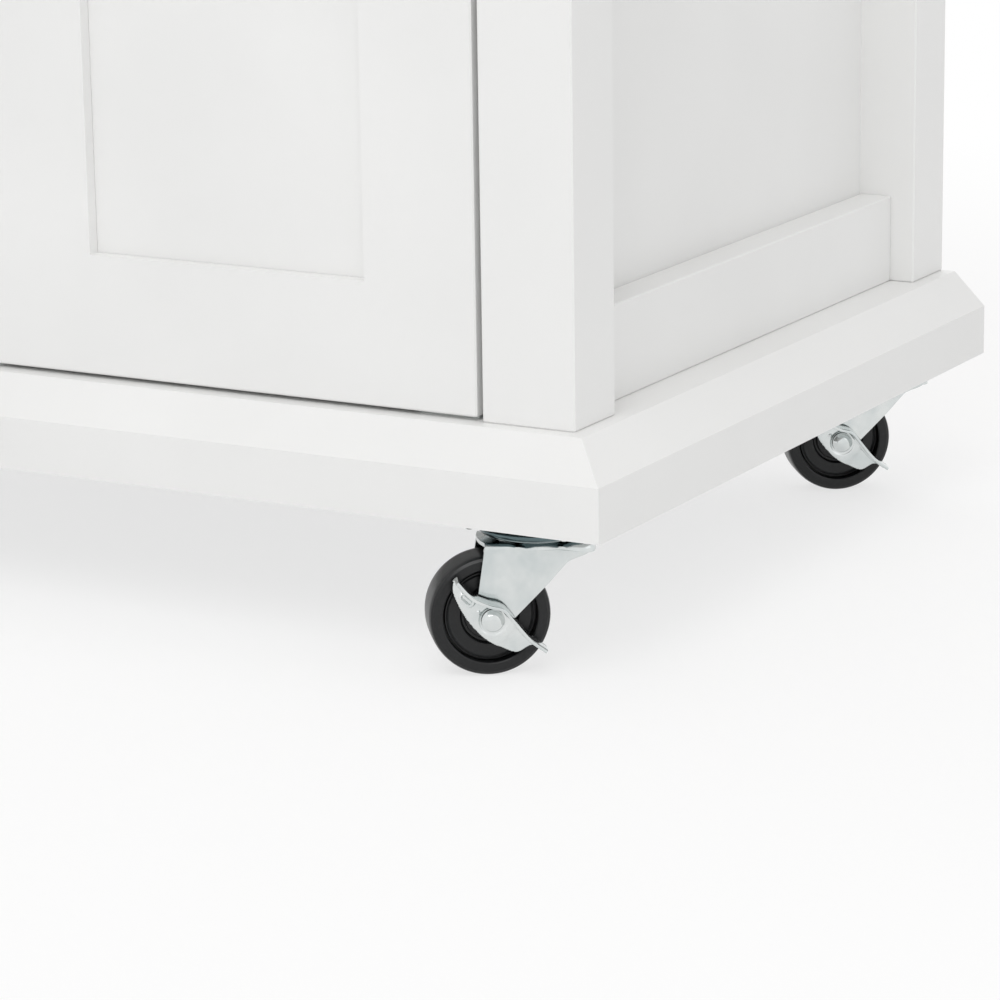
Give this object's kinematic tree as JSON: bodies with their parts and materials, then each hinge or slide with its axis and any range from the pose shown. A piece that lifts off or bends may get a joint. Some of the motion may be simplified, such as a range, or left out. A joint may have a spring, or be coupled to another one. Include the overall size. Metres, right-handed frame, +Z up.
{
  "type": "drop leaf kitchen island",
  "caption": "Rolling kitchen island with framed doors, a wide drawer, a wooden top and a hinged leaf at the back, on braked swivel casters.",
  "frame": {"origin": "on the floor under the middle of the outer box, with the leaf hanging", "axes": "+X to the right seen from the doors, +Y to the back where the leaf hangs, +Z up"},
  "size_m": [0.736, 0.5364, 0.915],
  "materials": {
    "painted_wood": "smooth white satin paint",
    "top_wood": "clear satin lacquer on edge-glued hardwood",
    "drawer_wood": "clear sealed plywood",
    "zinc_plate": "bright zinc plated pressed steel",
    "wheel_black": "moulded hard black plastic",
    "satin_nickel": "satin nickel"
  },
  "bodies": {
    "cabinet": {"back_panel": "painted_wood", "back_rails": "painted_wood", "base_back": "painted_wood", "base_front": "painted_wood", "base_left": "painted_wood", "base_right": "painted_wood", "bottom_panel": "painted_wood", "caster_plates": "zinc_plate", "door_pivots": "zinc_plate", "drawer_slide_rails": "zinc_plate", "front_rail": "painted_wood", "leaf_hinge_plates": "zinc_plate", "post_front_left": "painted_wood", "post_front_right": "painted_wood", "post_rear_left": "painted_wood", "post_rear_right": "painted_wood", "prop_brackets": "zinc_plate", "shelf": "painted_wood", "shelf_pins": "zinc_plate", "side_panel_left": "painted_wood", "side_panel_right": "painted_wood", "side_rails_left": "painted_wood", "side_rails_right": "painted_wood", "worktop": "top_wood"},
    "leaf": {"drop_leaf": "top_wood", "leaf_hinge_flaps": "zinc_plate", "leaf_stops": "zinc_plate"},
    "prop_left": {"prop_arm_left": "painted_wood"},
    "prop_right": {"prop_arm_right": "painted_wood"},
    "drawer": {"drawer_front": "painted_wood", "drawer_box": "drawer_wood", "drawer_bottom": "drawer_wood", "drawer_slide_runners": "zinc_plate", "drawer_knobs": "satin_nickel"},
    "door_left": {"door_left_stiles": "painted_wood", "door_left_rails": "painted_wood", "door_left_panel": "painted_wood", "door_left_knob": "satin_nickel", "door_left_pivot_sockets": "zinc_plate"},
    "door_right": {"door_right_stiles": "painted_wood", "door_right_rails": "painted_wood", "door_right_panel": "painted_wood", "door_right_knob": "satin_nickel", "door_right_pivot_sockets": "zinc_plate"},
    "caster_front_left_swivel": {"caster_front_left_fork": "zinc_plate", "caster_front_left_axle": "zinc_plate"},
    "caster_front_left_roller": {"caster_front_left_wheel": "wheel_black"},
    "caster_front_left_lever": {"caster_front_left_brake": "zinc_plate"},
    "caster_front_right_swivel": {"caster_front_right_fork": "zinc_plate", "caster_front_right_axle": "zinc_plate"},
    "caster_front_right_roller": {"caster_front_right_wheel": "wheel_black"},
    "caster_front_right_lever": {"caster_front_right_brake": "zinc_plate"},
    "caster_rear_left_swivel": {"caster_rear_left_fork": "zinc_plate", "caster_rear_left_axle": "zinc_plate"},
    "caster_rear_left_roller": {"caster_rear_left_wheel": "wheel_black"},
    "caster_rear_left_lever": {"caster_rear_left_brake": "zinc_plate"},
    "caster_rear_right_swivel": {"caster_rear_right_fork": "zinc_plate", "caster_rear_right_axle": "zinc_plate"},
    "caster_rear_right_roller": {"caster_rear_right_wheel": "wheel_black"},
    "caster_rear_right_lever": {"caster_rear_right_brake": "zinc_plate"}
  },
  "joints": [
    {"name": "leaf_fold", "type": "hinge", "parent": "cabinet", "child": "leaf", "pos_m": [0, 0.24017, 0.887], "axis": [1, 0, 0], "range_deg": [0, 90]},
    {"name": "prop_left_swing", "type": "hinge", "parent": "cabinet", "child": "prop_left", "pos_m": [-0.3055, 0.22118, 0.737], "axis": [1, 0, 0], "range_deg": [0, 135]},
    {"name": "prop_right_swing", "type": "hinge", "parent": "cabinet", "child": "prop_right", "pos_m": [0.3055, 0.22118, 0.737], "axis": [1, 0, 0], "range_deg": [0, 135]},
    {"name": "door_left_swing", "type": "hinge", "parent": "cabinet", "child": "door_left", "pos_m": [-0.26, -0.22068, 0.42675], "axis": [0, 0, -1], "range_deg": [0, 105]},
    {"name": "door_right_swing", "type": "hinge", "parent": "cabinet", "child": "door_right", "pos_m": [0.26, -0.22068, 0.42675], "axis": [0, 0, 1], "range_deg": [0, 105]},
    {"name": "drawer_slide", "type": "slide", "parent": "cabinet", "child": "drawer", "axis": [0, -1, 0], "range_m": [0, 0.26]},
    {"name": "caster_front_left_turn", "type": "hinge", "parent": "cabinet", "child": "caster_front_left_swivel", "pos_m": [-0.3054, -0.22357, 0.064], "axis": [0, 0, 1], "continuous": true},
    {"name": "caster_front_left_roll", "type": "hinge", "parent": "caster_front_left_swivel", "child": "caster_front_left_roller", "pos_m": [-0.3241, -0.23813, 0.029], "axis": [-0.6143, 0.7891, 0], "continuous": true},
    {"name": "caster_front_left_lock", "type": "hinge", "parent": "caster_front_left_swivel", "child": "caster_front_left_lever", "pos_m": [-0.3241, -0.23813, 0.029], "axis": [0.6143, -0.7891, 0], "range_deg": [0, 25]},
    {"name": "caster_front_right_turn", "type": "hinge", "parent": "cabinet", "child": "caster_front_right_swivel", "pos_m": [0.3054, -0.22357, 0.064], "axis": [0, 0, 1], "continuous": true},
    {"name": "caster_front_right_roll", "type": "hinge", "parent": "caster_front_right_swivel", "child": "caster_front_right_roller", "pos_m": [0.2867, -0.23813, 0.029], "axis": [-0.6143, 0.7891, 0], "continuous": true},
    {"name": "caster_front_right_lock", "type": "hinge", "parent": "caster_front_right_swivel", "child": "caster_front_right_lever", "pos_m": [0.2867, -0.23813, 0.029], "axis": [0.6143, -0.7891, 0], "range_deg": [0, 25]},
    {"name": "caster_rear_left_turn", "type": "hinge", "parent": "cabinet", "child": "caster_rear_left_swivel", "pos_m": [-0.3054, 0.16942, 0.064], "axis": [0, 0, 1], "continuous": true},
    {"name": "caster_rear_left_roll", "type": "hinge", "parent": "caster_rear_left_swivel", "child": "caster_rear_left_roller", "pos_m": [-0.3241, 0.15487, 0.029], "axis": [-0.6143, 0.7891, 0], "continuous": true},
    {"name": "caster_rear_left_lock", "type": "hinge", "parent": "caster_rear_left_swivel", "child": "caster_rear_left_lever", "pos_m": [-0.3241, 0.15487, 0.029], "axis": [0.6143, -0.7891, 0], "range_deg": [0, 25]},
    {"name": "caster_rear_right_turn", "type": "hinge", "parent": "cabinet", "child": "caster_rear_right_swivel", "pos_m": [0.3054, 0.16942, 0.064], "axis": [0, 0, 1], "continuous": true},
    {"name": "caster_rear_right_roll", "type": "hinge", "parent": "caster_rear_right_swivel", "child": "caster_rear_right_roller", "pos_m": [0.2867, 0.15487, 0.029], "axis": [-0.6143, 0.7891, 0], "continuous": true},
    {"name": "caster_rear_right_lock", "type": "hinge", "parent": "caster_rear_right_swivel", "child": "caster_rear_right_lever", "pos_m": [0.2867, 0.15487, 0.029], "axis": [0.6143, -0.7891, 0], "range_deg": [0, 25]}
  ],
  "couplings": [
    {"joint": "prop_left_swing", "follows": "leaf_fold", "ratio": 1.5},
    {"joint": "prop_right_swing", "follows": "leaf_fold", "ratio": 1.5}
  ]
}
